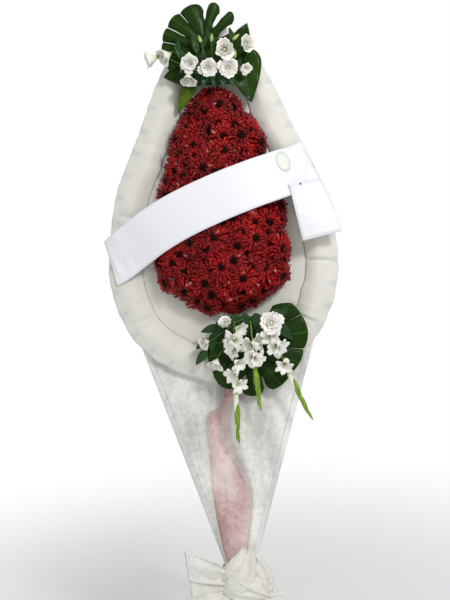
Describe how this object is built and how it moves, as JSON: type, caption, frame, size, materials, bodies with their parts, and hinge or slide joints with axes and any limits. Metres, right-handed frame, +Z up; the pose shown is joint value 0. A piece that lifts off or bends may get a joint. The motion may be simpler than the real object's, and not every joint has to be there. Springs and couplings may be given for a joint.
{
  "type": "standing funeral wreath",
  "caption": "Standing funeral wreath: cloth-covered teardrop board on a leaning lath easel, with a pear of dark red gerberas, leaf and flower sprays, sash, card, skirt and knot.",
  "frame": {"origin": "on the floor, under the middle of the wreath's outline", "axes": "+Z up, the wreath's front faces -Y, +X to the right of someone who looks at its front"},
  "size_m": [0.7006, 0.755, 2.1296],
  "materials": {
    "softwood": "matte",
    "hardboard": "matte",
    "cream_cloth": "matte",
    "white_veil_cloth": "matte",
    "pink_cloth": "matte",
    "floral_foam": "matte",
    "dark_red_petals": "satin",
    "white_petals": "satin",
    "dark_green_leaf": "gloss",
    "yellow_green_leaf": "satin",
    "green_stem": "satin",
    "white_paper": "satin",
    "pale_green_paper": "gloss",
    "pin_steel": "satin"
  },
  "bodies": {
    "root": {"front_lath_left": "softwood", "front_lath_right": "softwood", "board_spine": "softwood", "cross_batten_lower": "softwood", "cross_batten_upper": "softwood", "rear_prop": "softwood", "prop_tie": "softwood", "front_foot": "softwood", "board": "hardboard", "cover_cloth": "cream_cloth", "skirt_left": "white_veil_cloth", "skirt_right": "white_veil_cloth", "knot": "white_veil_cloth", "pink_lining": "pink_cloth", "flower_foam": "floral_foam", "top_foam_brick": "floral_foam", "low_foam_brick": "floral_foam", "gerbera_bed": "dark_red_petals", "lisianthus_top_01": "white_petals", "lisianthus_top_02": "white_petals", "lisianthus_top_03": "white_petals", "lisianthus_top_04": "white_petals", "lisianthus_top_05": "white_petals", "lisianthus_top_06": "white_petals", "lisianthus_top_07": "white_petals", "lisianthus_top_08": "white_petals", "lisianthus_top_09": "white_petals", "lisianthus_low_01": "white_petals", "lisianthus_low_02": "white_petals", "lisianthus_low_03": "white_petals", "lisianthus_low_04": "white_petals", "gladiolus_spike_1": "white_petals", "gladiolus_spike_2": "white_petals", "gladiolus_spike_3": "white_petals", "split_leaf_top": "dark_green_leaf", "split_leaf_low": "dark_green_leaf", "leaf_top_left_broad": "dark_green_leaf", "leaf_top_right_broad": "dark_green_leaf", "leaf_top_right_high": "dark_green_leaf", "small_leaf_twig": "dark_green_leaf", "leaf_top_left_low": "yellow_green_leaf", "lisianthus_top_stems": "green_stem", "lisianthus_low_stems_left": "green_stem", "lisianthus_low_stem_right": "green_stem", "sash": "white_paper", "card": "white_paper", "oval_sticker": "pale_green_paper", "card_pin": "pin_steel"}
  },
  "joints": []
}
